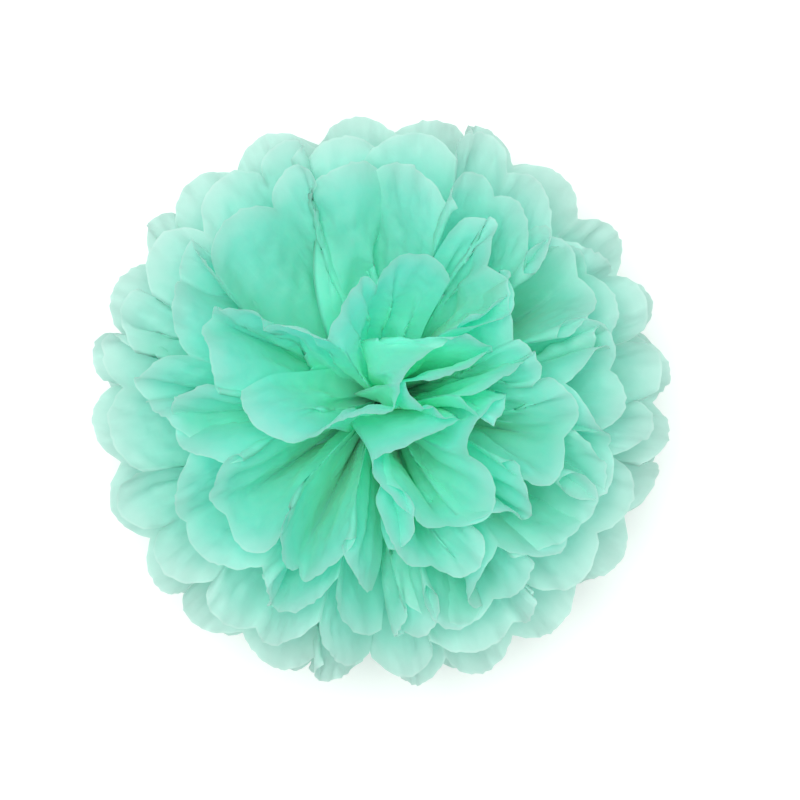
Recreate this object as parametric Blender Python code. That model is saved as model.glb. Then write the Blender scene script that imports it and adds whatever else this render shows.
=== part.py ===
"""A tissue paper pom pom, 250 mm across, resting on a table with its face up.

Ten sheets of tissue are stacked, folded together into twelve pleats, and tied at the middle with
one wire. Each half of every sheet opens as a half-circle fan, so a sheet becomes a ring of 24
rounded petals. Five sheets are pulled up from the tie and five down, and the lowest petals lie
flat on the table.

Metres, +Z up. The origin is on the table under the tie. The pleats run along X at the tie.
"""

import math

import bmesh
import bpy
from mathutils import Vector

MM = 0.001

# The cut sheet
SHEET_LENGTH = 500 * MM  # across the pleats
SHEET_WIDTH = 250 * MM  # along the pleats: the pom pom's diameter
PLEATS = 12
PANEL = SHEET_LENGTH / PLEATS
SCALLOP = 11 * MM  # how far a petal's rounded tip stands past its folds
PAPER = 0.25 * MM  # drawn thickness of one sheet

# The tied bundle
TIE_HEIGHT = 88 * MM  # of the tie above the table
STACK_PITCH = 0.8 * MM  # from sheet to sheet, at the tie and where petals lie on the table
WAIST_HALF = 4 * MM  # half the width of the gathered pleats under the wire
CHANNEL_HALF = 1.5 * MM  # half the gap that the wire runs in, between the two fans
FOLD_STEP = 0.6 * MM  # how much further out each sheet bends than the one it wraps

# The opened fans
FAN_HALF_ANGLE = math.radians(88)
LATITUDES = (78, 61, 44, 27, 9, -9, -26, -41, -55, -69)  # degrees of each sheet, top first
PLEAT_DEPTHS = (1, 1, 1, 1, 1, 1, 1, 0.9, 0.65, 0.4)  # the table presses the lowest ones open
FLAT_LIMIT = math.radians(60)  # up to here a pleat leans freely; past it the petals crowd
CROWDED_ROOM = math.radians(26)  # what is left between that and upright
STEEPEST_PLEAT = 3  # rise over run of a pleat's side
ROW_RADII = (10 * MM, 32 * MM, 60 * MM, 94 * MM)  # from the tie to each row of corners
TIP_STEPS = 4  # straight stretches round a petal's tip

# The wire
WIRE_RADIUS = 0.4 * MM
WIRE_LOOP_RADIUS = 6.3 * MM
TWIST_RADIUS = 0.6 * MM
TWIST_PITCH = 6 * MM
TAIL_LENGTH = 24 * MM
STUB_LENGTH = 6 * MM
EYE_RADIUS = 4 * MM
POINTS_PER_TURN = 7

SHEETS = len(LATITUDES)
PANEL_ANGLE = 2 * FAN_HALF_ANGLE / PLEATS


def clear_scene():
    for obj in list(bpy.data.objects):
        bpy.data.objects.remove(obj)


def finish(name, colour, roughness, metallic):
    """A plain material with one colour."""
    material = bpy.data.materials.new(name)
    material.use_nodes = True
    shader = material.node_tree.nodes["Principled BSDF"]
    shader.inputs["Base Color"].default_value = (*colour, 1)
    shader.inputs["Roughness"].default_value = roughness
    shader.inputs["Metallic"].default_value = metallic
    return material


def crowded(latitude):
    """The latitude that a petal takes where it can't lean past upright."""
    if abs(latitude) <= FLAT_LIMIT:
        return latitude
    over = CROWDED_ROOM * math.tanh((abs(latitude) - FLAT_LIMIT) / CROWDED_ROOM)
    return math.copysign(FLAT_LIMIT + over, latitude)


def pleat_swing(latitude, radius):
    """Half the angle between a mountain fold and a valley fold, seen from the tie.

    A panel keeps its width, so the closer its two folds lie round the ring, the deeper the pleat.
    The wire crushes the pleats flat as far as the first row of corners.
    """
    if radius <= ROW_RADII[0]:
        return 0
    spacing = PANEL_ANGLE * radius * math.cos(latitude)
    depth = math.sqrt(max(PANEL**2 - spacing**2, 0))
    return math.atan(min(depth, STEEPEST_PLEAT * spacing) / 2 / radius)


def fold_side(panels):
    """+1 on a mountain fold, -1 on a valley fold, and even between them."""
    return 1 - 2 * abs((panels % 2) - 1)


def bend(sheet, share):
    """Where a sheet bends away from the tie, from one edge of its waist (-1) to the other (1)."""
    stack = (SHEETS - 1) / 2 - sheet
    wrapped = (SHEETS - 1) / 2 - abs(stack)
    x = CHANNEL_HALF + wrapped * FOLD_STEP
    return Vector((x, WAIST_HALF * share, TIE_HEIGHT + stack * STACK_PITCH))


def petal_point(sheet, panels, radius):
    """A point of a sheet's +X fan, this many panels from its edge and this far from its bend."""
    share = 2 * panels / PLEATS - 1
    azimuth = FAN_HALF_ANGLE * share
    start = bend(sheet, share)
    if radius == 0:
        return start
    latitude = math.radians(LATITUDES[sheet])
    swing = PLEAT_DEPTHS[sheet] * pleat_swing(latitude, radius)
    latitude = crowded(latitude + fold_side(panels) * swing)
    out, rise = radius * math.cos(latitude), radius * math.sin(latitude)
    table = PAPER / 2 + (SHEETS - 1 - sheet) * STACK_PITCH
    drop = start.z - table
    if rise < -drop:  # the petal has met the table, and the rest of it lies outwards
        share_in_air = drop / -rise
        out = share_in_air * out + (1 - share_in_air) * radius
        rise = -drop
    return start + Vector((out * math.cos(azimuth), out * math.sin(azimuth), rise))


def tip_radius(sheet, panels):
    """How far the scalloped edge is from the bend: a circular arc over each panel."""
    arc_radius = (PANEL**2 / 4 + SCALLOP**2) / (2 * SCALLOP)
    across = (panels % 1 - 0.5) * PANEL
    reach = SHEET_WIDTH / 2 - bend(sheet, 0).x
    return reach - arc_radius + math.sqrt(arc_radius**2 - across**2)


def add_fan(bm, sheet, side):
    """One half of a sheet, on the -X side or the +X side. Returns its corners at the bend."""

    def corner(panels, radius):
        p = petal_point(sheet, panels, radius)
        return bm.verts.new((side * p.x, p.y, p.z))

    folds = range(PLEATS + 1)
    rows = [[corner(fold, radius) for fold in folds] for radius in (0, *ROW_RADII)]
    for inner, outer in zip(rows, rows[1:]):
        join_rows(bm, inner, outer)
    places = [step / TIP_STEPS for step in range(PLEATS * TIP_STEPS + 1)]
    edge = [corner(panels, tip_radius(sheet, panels)) for panels in places]
    for panel in range(PLEATS):
        tip = edge[panel * TIP_STEPS : (panel + 1) * TIP_STEPS + 1]
        bm.faces.new((rows[-1][panel + 1], rows[-1][panel], *tip))
    return rows[0]


def sheet_mesh(sheet):
    """The closed shell of one sheet: two fans joined by the strip that the wire squeezes."""
    bm = bmesh.new()
    join_rows(bm, add_fan(bm, sheet, -1), add_fan(bm, sheet, 1))
    bmesh.ops.recalc_face_normals(bm, faces=bm.faces)
    if sum(face.normal.z * face.calc_area() for face in bm.faces) < 0:
        bmesh.ops.reverse_faces(bm, faces=bm.faces)
    thicken(bm)
    if sheet == SHEETS - 1:
        rest_on_table(bm)
    mesh = bpy.data.meshes.new(f"sheet_{sheet + 1:02d}")
    bm.to_mesh(mesh)
    bm.free()
    return mesh


def join_rows(bm, inner, outer):
    """The flat panels between two rows of corners."""
    for fold in range(PLEATS):
        bm.faces.new((inner[fold], outer[fold], outer[fold + 1], inner[fold + 1]))


def thicken(bm):
    """Gives the sheet its thickness, half on each side of where it lies."""
    bmesh.ops.triangulate(bm, faces=bm.faces[:], quad_method="FIXED")
    bm.normal_update()
    for vert in bm.verts:
        vert.co += vert.normal * PAPER / 2
    bmesh.ops.solidify(bm, geom=bm.faces[:], thickness=PAPER)
    bmesh.ops.recalc_face_normals(bm, faces=bm.faces)


def rest_on_table(bm):
    """Makes the underside of the petals that lie on the table exactly flat."""
    for vert in bm.verts:
        if vert.co.z < PAPER / 2:
            vert.co.z = 0


def make_sheet(sheet, material):
    obj = bpy.data.objects.new(f"tissue_sheet_{sheet + 1:02d}", sheet_mesh(sheet))
    obj.data.materials.append(material)
    bpy.context.scene.collection.objects.link(obj)


def twist(start, end, phase):
    """One strand of a twisted pair along Y, from one distance to another."""
    turns = abs(end - start) / TWIST_PITCH
    steps = round(turns * POINTS_PER_TURN)
    for step in range(steps + 1):
        y = start + (end - start) * step / steps
        angle = phase + 2 * math.pi * (abs(y) - WIRE_LOOP_RADIUS) / TWIST_PITCH
        yield Vector((TWIST_RADIUS * math.cos(angle), y, TWIST_RADIUS * math.sin(angle)))


def arc(radius, centre_y, start, end, steps):
    """Points in the YZ plane, from one angle to another, leaving out both ends."""
    for step in range(1, steps):
        angle = math.radians(start + (end - start) * step / steps)
        yield Vector((0, centre_y + radius * math.cos(angle), radius * math.sin(angle)))


def wire_route():
    """The wire's centreline: an end stub, half round the waist, the twisted tail, its eye, and back."""
    up, down = math.pi / 2, -math.pi / 2
    near = WIRE_LOOP_RADIUS
    far = near + TAIL_LENGTH
    eye_centre = far + EYE_RADIUS + TWIST_RADIUS
    yield from twist(-near - STUB_LENGTH, -near, up)
    yield from arc(near, 0, 170, 10, 10)
    yield from twist(near, far, up)
    yield from arc(EYE_RADIUS, eye_centre, 155, -155, 9)
    yield from twist(far, near, down)
    yield from arc(near, 0, -10, -170, 10)
    yield from twist(-near, -near - STUB_LENGTH, down)


def make_wire(material):
    curve = bpy.data.curves.new("tie_wire", "CURVE")
    curve.dimensions = "3D"
    curve.bevel_depth = WIRE_RADIUS
    curve.bevel_resolution = 1
    curve.use_fill_caps = True
    points = list(wire_route())
    spline = curve.splines.new("POLY")
    spline.points.add(len(points) - 1)
    for point, place in zip(spline.points, points):
        point.co = (*place, 1)
    curve.materials.append(material)
    obj = bpy.data.objects.new("tie_wire", curve)
    obj.location.z = TIE_HEIGHT
    bpy.context.scene.collection.objects.link(obj)


def main():
    clear_scene()
    tissue = finish("mint tissue paper", (0.36, 0.80, 0.63), 0.85, 0)
    for sheet in range(SHEETS):
        make_sheet(sheet, tissue)
    make_wire(finish("galvanised florist wire", (0.55, 0.56, 0.55), 0.4, 1))


main()
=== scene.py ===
"""The looks of a mint green tissue paper pom pom, 250 mm across, lying face up on a pale table.

Every sheet is worked out as paper: a lattice of points that may bend and crumple but not stretch,
gathered at the tie, with each fold of its pleats pulled to its own place. Metres, +Z up.
"""

import math

import bpy
import numpy as np
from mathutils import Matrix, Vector


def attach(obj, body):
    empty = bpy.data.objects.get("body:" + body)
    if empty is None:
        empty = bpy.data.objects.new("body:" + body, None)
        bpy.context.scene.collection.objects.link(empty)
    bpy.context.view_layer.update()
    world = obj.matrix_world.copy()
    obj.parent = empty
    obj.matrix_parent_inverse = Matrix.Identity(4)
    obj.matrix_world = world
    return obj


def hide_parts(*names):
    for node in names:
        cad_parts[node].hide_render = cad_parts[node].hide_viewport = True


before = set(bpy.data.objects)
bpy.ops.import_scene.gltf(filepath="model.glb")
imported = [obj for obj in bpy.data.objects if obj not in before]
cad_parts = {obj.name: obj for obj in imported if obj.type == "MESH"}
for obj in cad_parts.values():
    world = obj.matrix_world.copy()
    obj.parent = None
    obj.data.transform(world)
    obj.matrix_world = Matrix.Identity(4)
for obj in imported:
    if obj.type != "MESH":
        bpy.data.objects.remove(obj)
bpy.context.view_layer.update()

MM = 0.001
SEED = 24

# The cut sheet and the tie, as the frame has them
SHEETS = 10
PLEATS = 12
SHEET_LENGTH = 500 * MM
SHEET_WIDTH = 250 * MM
PANEL = SHEET_LENGTH / PLEATS
SCALLOP = 11 * MM
TIE_HEIGHT = 88 * MM
STACK_PITCH = 0.8 * MM
WAIST_HALF = 4 * MM
CHANNEL_HALF = 1.5 * MM
FOLD_STEP = 0.6 * MM
REACH = SHEET_WIDTH / 2 - CHANNEL_HALF

# How the sheets are pulled open, top first
FAN_HALF_ANGLE = math.radians(91)
LATITUDES = (75, 61, 44, 27, 9, -9, -26, -41, -55, -69)
RUFFLED = (1, 1.2, 1, 0.8, 0.5, 0.5, 0.6, 0.8, 0.8, 0.8)  # how unevenly each sheet is pulled
CRUMPLED = (0.2, 0.4, 1.4, 2, 2.4, 2.4, 1.6, 1.2, 1, 1)  # how much more crumpled each rim is
WIDEST_TOWARDS = math.radians(140)  # the side whose petals were smoothed out widest
SMOOTHED_OUT = 0.55  # how much of the pleats' depth went there
SMOOTHED_SHEETS = 6  # the upper ones
SHARED_STRAY = (1.2, 2)  # degrees round and up, that a fold strays in all the sheets alike
OWN_STRAY = (3.2, 4)  # and in one sheet by itself
SWING_STRAY = 0.4  # the share by which a fold's swing varies
BELLY = 4  # mm that a panel bulges, all the way out
RIM_BELLY = 6  # mm, and at its free end only
ROLL = 3  # mm that a petal's tip rolls back
ROLLED = 0.2  # the outer share of a petal that does

# The lattice that stands for the paper
COLUMNS = 10  # of points across a panel
ACROSS = PLEATS * COLUMNS + 1
ROWS = 28  # of points from the bend to the scalloped edge
ROUNDS = 220  # of settling
FIRST_HOLD = 0.12  # how firmly hands hold the paper at first, fading to nothing
LASTING_HOLD = 0.004  # and how firmly the whole way
HEART_HOLD = 0.2  # more, at the listed ends of the two top sheets
SPRING = 0.25  # how much a point leans to the middle of its neighbours across
FOLD_SPRING = 0.14  # and at a fold
SPRING_ALONG = 0.2  # and along the pleat
LATTICE_LOWEST = 0.6 * MM  # above the table
MESH_LOWEST = 0.4 * MM
STEEPEST = 0.34  # radians, of a fold's swing from the middle of its sheet
DEEPEST = 2.6  # of a pleat near the tie, against its depth at the rim
ALONG = np.linspace(0, 1, ROWS)  # the share of the way from the bend to the edge


# ---------------------------------------------------------------- how each fold is pulled

# The folds of the two top sheets, one by one, for (sheet, side), where side 0 is on -X and side 1 on
# +X. From -Y to +Y: each fold's direction round the ball and its height above level, in degrees.
HEART = {
    (0, 0): (
        (160, 57), (175, 73), (176, 64), (-144, 70), (-118, 60), (-86, 78), (-165, 73),
        (168, 84), (160, 65), (76, 77), (-125, 86), (-34, 75), (4, 65),
    ),
    (0, 1): (
        (-91, 60), (-87, 75), (-74, 54), (-58, 60), (-42, 50), (-28, 62), (-14, 51),
        (2, 60), (22, 63), (46, 54), (46, 72), (53, 57), (66, 54),
    ),
    (1, 0): (
        (-92, 50), (-78, 63), (-64, 49), (-50, 63), (-36, 49), (-22, 61), (-8, 46),
        (0, 60), (24, 52), (32, 64), (54, 78), (91, 69), (124, 63),
    ),
    (1, 1): (
        (-90, 38), (-78, 50), (-64, 36), (-50, 50), (-36, 37), (-22, 50), (-10, 36),
        (4, 51), (11, 37), (20, 52), (29, 38), (38, 52), (48, 38),
    ),
}

# One of them turns over near its end, at this distance from the bend: its new direction and
# height, by sheet, side and fold.
TURN_AT = 80 * MM
TURNED = {(0, 0, 9): (176, 50)}


def fold_spacing(latitude):
    """The distance between a sheet's folds at its rim, when they are spread evenly."""
    return 2 * FAN_HALF_ANGLE / PLEATS * REACH * math.cos(math.radians(latitude))


def pulled_folds(rng):
    """Direction round and height of the end of every fold, in degrees, for [sheet, side, fold]."""
    folds = PLEATS + 1
    shared = rng.normal(size=(2, 2, folds))
    pulls = np.zeros((SHEETS, 2, folds, 2))
    even = np.linspace(-1, 1, folds) * math.degrees(FAN_HALF_ANGLE)
    mountain = np.where(np.arange(folds) % 2, 1, -1)
    for sheet, latitude in enumerate(LATITUDES):
        swing = math.degrees(math.sqrt(PANEL**2 - fold_spacing(latitude) ** 2) / 2 / REACH)
        stray = RUFFLED[sheet]
        for side in range(2):
            own = rng.normal(size=(3, folds))
            azimuth = even + SHARED_STRAY[0] * shared[side, 0] + OWN_STRAY[0] * stray * own[0]
            height = latitude + SHARED_STRAY[1] * shared[side, 1] + OWN_STRAY[1] * stray * own[1]
            round_ball = np.radians(even if side else 180 - even)
            near = (0.5 + 0.5 * np.cos(round_ball - WIDEST_TOWARDS)) ** 1.5
            left = 1 - SMOOTHED_OUT * near if sheet < SMOOTHED_SHEETS else 1
            height += mountain * swing * left * (1 + SWING_STRAY * stray * own[2])
            pulls[sheet, side] = np.stack([azimuth, height], 1)
    for (sheet, side), ends in HEART.items():
        pulls[sheet, side] = np.array(ends, float)
    return pulls


# ---------------------------------------------------------------- the lattice


def unit(v):
    return v / np.maximum(np.linalg.norm(v, axis=-1, keepdims=True), 1e-9)


def direction(azimuth, latitude):
    """The way out to a place on the ball, from angles in radians."""
    level = np.cos(latitude)
    return np.stack([level * np.cos(azimuth), level * np.sin(azimuth), np.sin(latitude)], -1)


def flat_paper():
    """Where each point of half a sheet lies on the cut: along its long edge, and from the bend."""
    arc_radius = (PANEL**2 / 4 + SCALLOP**2) / (2 * SCALLOP)
    across = (np.arange(ACROSS) % COLUMNS / COLUMNS - 0.5) * PANEL
    petal = SCALLOP - arc_radius + np.sqrt(arc_radius**2 - across**2)
    x = np.linspace(0, SHEET_LENGTH, ACROSS)[:, None] * np.ones(ROWS)
    y = (REACH - SCALLOP) * ALONG + petal[:, None] * ALONG**5
    return np.stack([x, y], -1)


def bends():
    """The line where each sheet leaves the tie, for [sheet, column]."""
    stack = (SHEETS - 1) / 2 - np.arange(SHEETS)
    wrapped = (SHEETS - 1) / 2 - np.abs(stack)
    line = np.zeros((SHEETS, ACROSS, 3))
    line[..., 0] = (CHANNEL_HALF + wrapped * FOLD_STEP)[:, None]
    line[..., 1] = WAIST_HALF * np.linspace(-1, 1, ACROSS)
    line[..., 2] = (TIE_HEIGHT + stack * STACK_PITCH)[:, None]
    return line


def fold_lines(tips, latitude):
    """The way each fold runs, for [fold, row].

    A panel keeps its width while the room round the tie gets less, so the nearer the tie, the
    further a fold swings from the middle of its sheet.
    """
    wide = np.concatenate([2 * tips[:1] - tips[1:2], tips, 2 * tips[-1:] - tips[-2:-1]])
    middle = unit(wide[:-2] + 2 * wide[1:-1] + wide[2:])
    swing = tips - middle
    spacing = fold_spacing(latitude) * ALONG
    depth = np.sqrt(PANEL**2 - spacing**2) / np.maximum(ALONG, 0.05)
    deeper = np.minimum(depth / depth[-1], DEEPEST)
    room = STEEPEST / np.maximum(np.linalg.norm(swing, axis=-1), 1e-6)
    growth = np.minimum(deeper, np.maximum(room, 1)[:, None])
    return unit(middle[:, None] + swing[:, None] * growth[..., None])


def turned_over(sheet, side, tips):
    """How far each fold's end is moved by turning over, for [fold, row]."""
    moved = np.zeros((PLEATS + 1, ROWS, 3))
    past = np.maximum(ALONG * REACH - TURN_AT, 0)[:, None]
    for (its_sheet, its_side, fold), there in TURNED.items():
        if (its_sheet, its_side) == (sheet, side):
            moved[fold] = (direction(*np.radians(there)) - tips[fold]) * past
    return moved


def first_shape(pulls, flat, rng):
    """Where the paper would lie if each fold went just where it was pulled."""
    shape = np.zeros((SHEETS, 2, ACROSS, ROWS, 3))
    start = bends()
    share = np.linspace(0, 1, COLUMNS + 1)[:, None, None]
    for sheet, latitude in enumerate(LATITUDES):
        for side in range(2):
            tips = direction(*np.radians(pulls[sheet, side]).T)
            folds = fold_lines(tips, latitude)
            turned = turned_over(sheet, side, tips)
            for panel in range(PLEATS):
                ray = unit(folds[panel] * (1 - share) + folds[panel + 1] * share)
                normal = unit(np.cross(folds[panel + 1], folds[panel]))
                belly = rng.normal() * BELLY * MM * ALONG**2
                belly = belly + rng.normal() * RIM_BELLY * MM * ALONG**5
                outer = normal * np.sign(np.sum(normal * ray * (1, 1, -1), -1, keepdims=True))
                rolled = np.clip((ALONG - (1 - ROLLED)) / ROLLED, 0, 1) ** 2
                roll = (ROLL + ROLL * rng.normal()) * MM * rolled
                columns = slice(panel * COLUMNS, (panel + 1) * COLUMNS + 1)
                shape[sheet, side, columns] = (
                    start[sheet, columns][:, None]
                    + ray * flat[columns, :, 1][..., None]
                    + turned[panel] * (1 - share)
                    + turned[panel + 1] * share
                    + normal * (4 * share * (1 - share) * belly[:, None])
                    + outer * roll[:, None]
                )
    return shape


def links():
    """Pairs of neighbouring points, across, diagonal and along, and how much each resists a push.

    None stands for all the way. Every other pair goes in one turn, so that no point is in two.
    """
    everything, outer, inner = slice(None), slice(1, None), slice(0, -1)
    for first in (0, 1):
        a, b = slice(first, ACROSS - 1, 2), slice(first + 1, ACROSS, 2)
        yield (a, everything), (b, everything), 1
        yield (a, inner), (b, outer), 0.5
        yield (a, outer), (b, inner), 0.5
    for first in (0, 1):
        a, b = slice(first, ROWS - 1, 2), slice(first + 1, ROWS, 2)
        yield (everything, a), (everything, b), None


def pull_together(p, a, b, rest, give):
    """Moves both ends of each link towards its length; give says how much a short one pushes."""
    link = p[b] - p[a]
    length = np.linalg.norm(link, axis=-1, keepdims=True)
    error = (length - rest) / np.maximum(length, 1e-7)
    move = link * (0.5 * np.where(error > 0, error, error * give))
    p[a] += move
    p[b] -= move


def settle(p, flat):
    """Lets the paper find its own shape, without stretching, from where it was pulled."""
    wish = p.copy()
    pinned = p[:, :, :, :1].copy()
    from_tie = ALONG * REACH

    # the crushed paper near the tie gathers freely, and further out it keeps its width
    stiff = np.clip((from_tie - 10 * MM) / (40 * MM), 0, 1)
    joined = []
    for a, b, share in links():
        rest = np.linalg.norm(flat[b] - flat[a], axis=-1)[..., None]
        give = 1 if share is None else share * stiff[None, b[1], None]
        joined.append(((..., *a, slice(None)), (..., *b, slice(None)), rest, give))

    # each point leans towards the middle of its neighbours, and less at a fold
    fold = np.arange(1, ACROSS - 1) % COLUMNS == 0
    at_fold = FOLD_SPRING * np.clip((from_tie - 40 * MM) / (60 * MM), 0, 1)
    spring = np.where(fold[:, None], at_fold, SPRING)[..., None]

    # the listed folds of the heart are held where they were put
    held = np.full((SHEETS, 1, 1, ROWS, 1), LASTING_HOLD)
    held[:2] += HEART_HOLD * ALONG[:, None] ** 2

    for turn in range(ROUNDS):
        p += (wish - p) * (FIRST_HOLD * (1 - turn / ROUNDS) ** 2 + held)
        for a, b, rest, give in joined:
            pull_together(p, a, b, rest, give)
        p[:, :, 1:-1] += spring * ((p[:, :, 2:] + p[:, :, :-2]) / 2 - p[:, :, 1:-1])
        middle = (p[:, :, :, 2:] + p[:, :, :, :-2]) / 2
        p[:, :, :, 1:-1] += SPRING_ALONG * (middle - p[:, :, :, 1:-1])
        keep_in_order(p)
        np.maximum(p[..., 2], LATTICE_LOWEST, out=p[..., 2])
        p[:, :, :, :1] = pinned
    return p


def keep_in_order(p):
    """Holds each sheet a little above the next one down, but lets the two top ones mingle."""
    gap = (0.8 + 2.2 * np.sin(math.pi * ALONG * 0.8)) * MM
    upper, lower = p[1:-1], p[2:]
    outward = unit((upper + lower) / 2 - np.array([0, 0, TIE_HEIGHT]))
    up = unit(np.array([0, 0, 1.0]) - outward * outward[..., 2:])
    apart = np.sum((upper - lower) * up, -1)
    push = np.maximum(gap - apart, 0)[..., None] * up * 0.25
    push[:, :, :, :2] = 0
    upper += push
    lower -= push


# ---------------------------------------------------------------- the drawn mesh


def finer_along(p, axis):
    """Puts a point between each two, on a smooth curve through their neighbours."""
    p = np.moveaxis(p, axis, 0)
    before = np.concatenate([2 * p[:1] - p[1:2], p[:-2]])
    after = np.concatenate([p[2:], 2 * p[-1:] - p[-2:-1]])
    fine = np.empty((2 * len(p) - 1, *p.shape[1:]))
    fine[::2] = p
    fine[1::2] = (9 * (p[:-1] + p[1:]) - before - after) / 16
    return np.moveaxis(fine, 0, axis)


def finer(p):
    """Twice as many points both ways, panel by panel across, so that the folds stay crisp."""
    panels = []
    for panel in range(PLEATS):
        part = finer_along(p[panel * COLUMNS : (panel + 1) * COLUMNS + 1], 0)
        panels.append(part if panel == 0 else part[1:])
    return finer_along(np.concatenate(panels), 1)


def waves(rng, x, y, length, count=14):
    """Smooth random hills over the flat paper, about this long from crest to crest."""
    total = np.zeros(np.broadcast(x, y).shape)
    for _ in range(count):
        angle, phase = rng.uniform(0, 2 * math.pi, 2)
        pitch = length * rng.uniform(0.7, 1.5)
        total += np.sin(2 * math.pi * (x * math.cos(angle) + y * math.sin(angle)) / pitch + phase)
    return total / math.sqrt(count / 2)


def wrinkles(sheet, x, y, rng):
    """How far each point of the paper stands off a smooth surface: broad creases and fine ones.

    There are none near the tie or along a fold, and the fine ones are strongest at the rim.
    """
    loose = np.clip((y - 15 * MM) / (40 * MM), 0, 1)
    to_fold = np.abs((x / PANEL + 0.5) % 1 - 0.5) * PANEL
    crisp = np.clip(to_fold / (5 * MM), 0, 1) ** 0.7
    broad = np.hypot(waves(rng, x * 1.5, y * 0.6, 30 * MM), 0.3) * 0.7
    fine = np.hypot(waves(rng, x * 1.5, y * 0.7, 12 * MM), 0.25) * 0.25
    fine *= 1 + CRUMPLED[sheet] * loose**4
    return loose * crisp * (broad + fine) * MM


def paper_mesh(sheet, fans, rng):
    """One sheet as a single surface: both fans and the strip under the wire.

    Its first UV layer is the place on the flat cut, in metres, and the second says how far a point
    is from the cut edge and from the tie.
    """
    grids, flats, edges = [], [], []
    for side in range(2):
        p = finer(fans[side])
        x, y = np.moveaxis(finer(flat_paper()), -1, 0)
        normals = unit(np.cross(np.gradient(p, axis=0), np.gradient(p, axis=1)))
        p = p + normals * wrinkles(sheet, x, y, rng)[..., None]
        ragged = waves(rng, x[:, 0], 0, 5 * MM) * 0.25 + rng.normal(size=len(p)) * 0.12
        p[:, -1] += unit(p[:, -1] - p[:, -2]) * (ragged * MM)[:, None]
        p[..., 2] = np.maximum(p[..., 2], MESH_LOWEST)
        grids.append(p)
        flats.append(np.stack([x, y], -1))
        edges.append(np.stack([y[:, -1:] - y, y], -1))
    grids[0][..., 0] *= -1
    flats[0][..., 1] *= -1
    points, flat, edge = (
        np.concatenate([halves[0][:, ::-1], halves[1]], 1) for halves in (grids, flats, edges)
    )
    index = np.arange(points.shape[0] * points.shape[1]).reshape(points.shape[:2])
    corners = (index[:-1, :-1], index[1:, :-1], index[1:, 1:], index[:-1, 1:])
    quads = np.stack(corners, -1).reshape(-1, 4)
    mesh = bpy.data.meshes.new(f"petals_{sheet + 1:02d}")
    mesh.from_pydata(points.reshape(-1, 3).tolist(), [], quads.tolist())
    for name, places in (("flat_paper", flat), ("from_edge", edge)):
        layer = mesh.uv_layers.new(name=name)
        uv = places.reshape(-1, 2)[quads.ravel()]
        layer.data.foreach_set("uv", uv.astype(np.float32).ravel())
    mesh.shade_smooth()
    return mesh


def make_sheets(material):
    rng = np.random.default_rng(SEED)
    flat = flat_paper()
    lattice = settle(first_shape(pulled_folds(rng), flat, rng), flat)
    for sheet in range(SHEETS):
        mesh = paper_mesh(sheet, lattice[sheet], rng)
        piece = bpy.data.objects.new(mesh.name, mesh)
        bpy.context.scene.collection.objects.link(piece)
        piece.data.materials.append(material)
        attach(piece, "root")
        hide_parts(f"tissue_sheet_{sheet + 1:02d}")


# ---------------------------------------------------------------- finishes


def colour(code):
    """A linear colour from a #RRGGBB sRGB code."""
    parts = [int(code[i : i + 2], 16) / 255 for i in (1, 3, 5)]
    linear = [c / 12.92 if c <= 0.04045 else ((c + 0.055) / 1.055) ** 2.4 for c in parts]
    return (*linear, 1)


def add_node(tree, kind, settings=(), joins=()):
    """Adds a node, sets its properties and inputs, and joins other nodes' outputs to it."""
    node = tree.nodes.new(kind)
    for name, value in dict(settings).items():
        if isinstance(name, str) and hasattr(node, name):
            setattr(node, name, value)
        else:
            node.inputs[name].default_value = value
    for name, socket in dict(joins).items():
        tree.links.new(socket, node.inputs[name])
    return node


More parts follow.
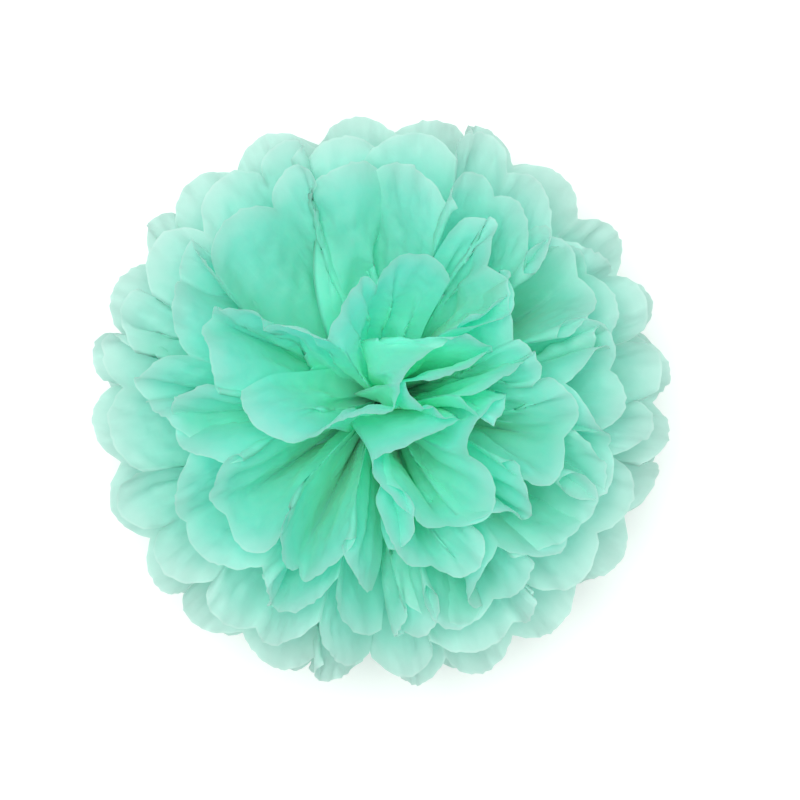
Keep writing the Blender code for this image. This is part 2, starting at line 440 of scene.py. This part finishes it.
def tissue_paper():
    """Dyed tissue: matt, with a dry bloom, and so thin that light comes through it.

    Light that has passed through several layers has lost its red, so the depths between the petals
    glow a strong green. On top of that, light and shade are painted into the colour by distance from
    the axis: a lighter, stronger green towards the middle, and a painted paleness on the outer petals
    and at their rims, where a single layer is lit from all round.
    """
    material = bpy.data.materials.new("mint_tissue_paper")
    material.use_nodes = True
    tree = material.node_tree
    tree.nodes.clear()

    # the distance from the ball's axis, which stands for how deep among the petals a place is, and
    # from it the painted light and shade of the colour
    place = add_node(tree, "ShaderNodeNewGeometry")
    level = add_node(
        tree,
        "ShaderNodeVectorMath",
        {"operation": "MULTIPLY", 1: (1, 1, 0)},
        {0: place.outputs["Position"]},
    )
    from_axis = add_node(tree, "ShaderNodeVectorMath", {"operation": "LENGTH"}, {0: level.outputs[0]})
    painted_light_inner_ramp = add_node(
        tree,
        "ShaderNodeMapRange",
        {"interpolation_type": "SMOOTHSTEP", "From Min": 30 * MM, "From Max": 78 * MM},
        {"Value": from_axis.outputs["Value"]},
    )
    painted_pale_outer_ramp = add_node(
        tree,
        "ShaderNodeMapRange",
        {"interpolation_type": "SMOOTHSTEP", "From Min": 66 * MM, "From Max": 126 * MM},
        {"Value": from_axis.outputs["Value"]},
    )
    # painted light and shade in the front colour: lighter and a stronger green towards the middle,
    # and paler and greyer on the outer petals
    inner_dye_and_painted_light = add_node(
        tree,
        "ShaderNodeMix",
        {"data_type": "RGBA", 6: colour("#A6FFF6"), 7: colour("#A0F1E4")},
        {0: painted_light_inner_ramp.outputs[0]},
    )
    dye_and_painted_light = add_node(
        tree,
        "ShaderNodeMix",
        {"data_type": "RGBA", 7: colour("#C6E4DC")},
        {0: painted_pale_outer_ramp.outputs[0], 6: inner_dye_and_painted_light.outputs[2]},
    )
    # the same painted light and shade in the colour of the light that comes through
    inner_glow = add_node(
        tree,
        "ShaderNodeMix",
        {"data_type": "RGBA", 6: colour("#50FFEC"), 7: colour("#5AF5E2")},
        {0: painted_light_inner_ramp.outputs[0]},
    )
    glow = add_node(
        tree,
        "ShaderNodeMix",
        {"data_type": "RGBA", 7: colour("#AAE8DC")},
        {0: painted_pale_outer_ramp.outputs[0], 6: inner_glow.outputs[2]},
    )

    # clouds of thicker and thinner fibre, about 5 mm across
    paper = add_node(tree, "ShaderNodeUVMap", {"uv_map": "flat_paper"})
    clouds = add_node(
        tree,
        "ShaderNodeTexNoise",
        {"Scale": 1 / (5 * MM), "Detail": 3, "Roughness": 0.6},
        {"Vector": paper.outputs[0]},
    )
    cloudy = add_node(
        tree,
        "ShaderNodeMapRange",
        {"From Min": 0.35, "From Max": 0.65, "To Min": 0, "To Max": 0.16},
        {"Value": clouds.outputs[0]},
    )
    clouded = add_node(
        tree,
        "ShaderNodeMix",
        {"data_type": "RGBA", 7: colour("#E6F6F1")},
        {0: cloudy.outputs[0], 6: dye_and_painted_light.outputs[2]},
    )

    # painted light near its free end: a petal is painted paler there, as if nothing behind it held
    # back the light, and a painted highlight about 1 mm wide along the cut edge stands for its torn
    # fibres catching the light, drawn that wide so that it shows
    rim = add_node(tree, "ShaderNodeUVMap", {"uv_map": "from_edge"})
    inwards = add_node(tree, "ShaderNodeSeparateXYZ", {}, {0: rim.outputs[0]})
    painted_edge_highlight = add_node(
        tree,
        "ShaderNodeMapRange",
        {"From Min": 0.3 * MM, "From Max": 1.4 * MM, "To Min": 0.42, "To Max": 0.24},
        {"Value": inwards.outputs[0]},
    )
    painted_rim_fade = add_node(
        tree,
        "ShaderNodeMapRange",
        {"interpolation_type": "SMOOTHSTEP", "From Max": 15 * MM, "To Min": 1, "To Max": 0},
        {"Value": inwards.outputs[0]},
    )
    # painted rim light: the painted highlight and the painted paleness together
    pale = add_node(
        tree,
        "ShaderNodeMath",
        {"operation": "MULTIPLY"},
        {0: painted_edge_highlight.outputs[0], 1: painted_rim_fade.outputs[0]},
    )
    # the painted rim light, mixed into both the front colour and the colour that comes through
    with_painted_rim_light = add_node(
        tree,
        "ShaderNodeMix",
        {"data_type": "RGBA", 7: colour("#F2FBF8")},
        {0: pale.outputs[0], 6: clouded.outputs[2]},
    )
    through_with_painted_rim_light = add_node(
        tree,
        "ShaderNodeMix",
        {"data_type": "RGBA", 7: colour("#E6F6F1")},
        {0: pale.outputs[0], 6: glow.outputs[2]},
    )

    # fine crinkles left by hands, too small for the mesh
    crinkles = add_node(
        tree,
        "ShaderNodeTexNoise",
        {"noise_type": "RIDGED_MULTIFRACTAL", "Scale": 1 / (14 * MM), "Detail": 3, "Distortion": 0.6},
        {"Vector": paper.outputs[0]},
    )
    relief = add_node(
        tree,
        "ShaderNodeBump",
        {"Strength": 0.2, "Distance": 0.5 * MM},
        {"Height": crinkles.outputs[0]},
    )

    front = add_node(
        tree,
        "ShaderNodeBsdfPrincipled",
        {"Roughness": 0.6, "Specular IOR Level": 0.6, "Sheen Weight": 0.35, "Sheen Roughness": 0.5},
        {"Base Color": with_painted_rim_light.outputs[2], "Normal": relief.outputs[0]},
    )
    through = add_node(
        tree,
        "ShaderNodeBsdfTranslucent",
        {},
        {"Color": through_with_painted_rim_light.outputs[2], "Normal": relief.outputs[0]},
    )
    both = add_node(
        tree,
        "ShaderNodeMixShader",
        {0: 0.45},
        {1: front.outputs[0], 2: through.outputs[0]},
    )
    add_node(tree, "ShaderNodeOutputMaterial", {}, {0: both.outputs[0]})
    return material


def galvanised_wire():
    """Zinc-coated florist wire: a dull grey metal with small pale and dark spangles."""
    material = bpy.data.materials.new("galvanised_wire")
    material.use_nodes = True
    tree = material.node_tree
    shader = tree.nodes["Principled BSDF"]
    shader.inputs["Metallic"].default_value = 1
    place = add_node(tree, "ShaderNodeTexCoord")
    spangle = add_node(
        tree,
        "ShaderNodeTexNoise",
        {"Scale": 1 / (0.9 * MM), "Detail": 2},
        {"Vector": place.outputs["Object"]},
    )
    zinc = add_node(
        tree,
        "ShaderNodeMix",
        {"data_type": "RGBA", 6: colour("#8B8F8F"), 7: colour("#BABDBB")},
        {0: spangle.outputs[0]},
    )
    dull = add_node(
        tree,
        "ShaderNodeMapRange",
        {"To Min": 0.34, "To Max": 0.55},
        {"Value": spangle.outputs[0]},
    )
    tree.links.new(zinc.outputs[2], shader.inputs["Base Color"])
    tree.links.new(dull.outputs[0], shader.inputs["Roughness"])
    return material


# ---------------------------------------------------------------- stage


def make_table():
    """A large pale table that glows a little, so that it stays white around the ball."""
    half = 3.0
    corners = [(-half, -half, 0), (half, -half, 0), (half, half, 0), (-half, half, 0)]
    mesh = bpy.data.meshes.new("table")
    mesh.from_pydata(corners, [], [(0, 1, 2, 3)])
    material = bpy.data.materials.new("pale_table")
    material.use_nodes = True
    shader = material.node_tree.nodes["Principled BSDF"]
    shader.inputs["Base Color"].default_value = colour("#FBFCFB")
    shader.inputs["Roughness"].default_value = 0.9
    shader.inputs["Emission Color"].default_value = (1, 1, 1, 1)
    shader.inputs["Emission Strength"].default_value = 0.12
    mesh.materials.append(material)
    table = bpy.data.objects.new("table", mesh)
    bpy.context.scene.collection.objects.link(table)


def place_and_aim(name, data, place, target):
    obj = bpy.data.objects.new(name, data)
    obj.location = place
    obj.rotation_euler = (Vector(target) - Vector(place)).to_track_quat("-Z", "Y").to_euler()
    bpy.context.scene.collection.objects.link(obj)
    return obj


def light_stage():
    world = bpy.data.worlds.new("white_tent")
    world.use_nodes = True
    background = world.node_tree.nodes["Background"]
    background.inputs["Color"].default_value = (1, 1, 1, 1)
    background.inputs["Strength"].default_value = 0.4
    bpy.context.scene.world = world
    softbox = bpy.data.lights.new("softbox_overhead", "SUN")
    softbox.energy = 2.4
    softbox.angle = math.radians(36)
    place_and_aim("softbox_overhead", softbox, (-0.06, 0.06, 1.2), (0, 0, 0.1))
    bpy.context.scene.view_settings.view_transform = "Standard"
    # light passes through many layers of tissue before it fades
    cycles = bpy.context.scene.cycles
    cycles.max_bounces = 24
    cycles.diffuse_bounces = 16
    cycles.transmission_bounces = 16


def make_camera():
    data = bpy.data.cameras.new("camera")
    data.lens = 110
    camera = place_and_aim("camera", data, (0.008, -0.03, 1.15), (0.008, 0, 0.1))
    bpy.context.scene.camera = camera


make_sheets(tissue_paper())
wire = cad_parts["tie_wire"]
wire.data.materials.clear()
wire.data.materials.append(galvanised_wire())
make_table()
light_stage()
make_camera()
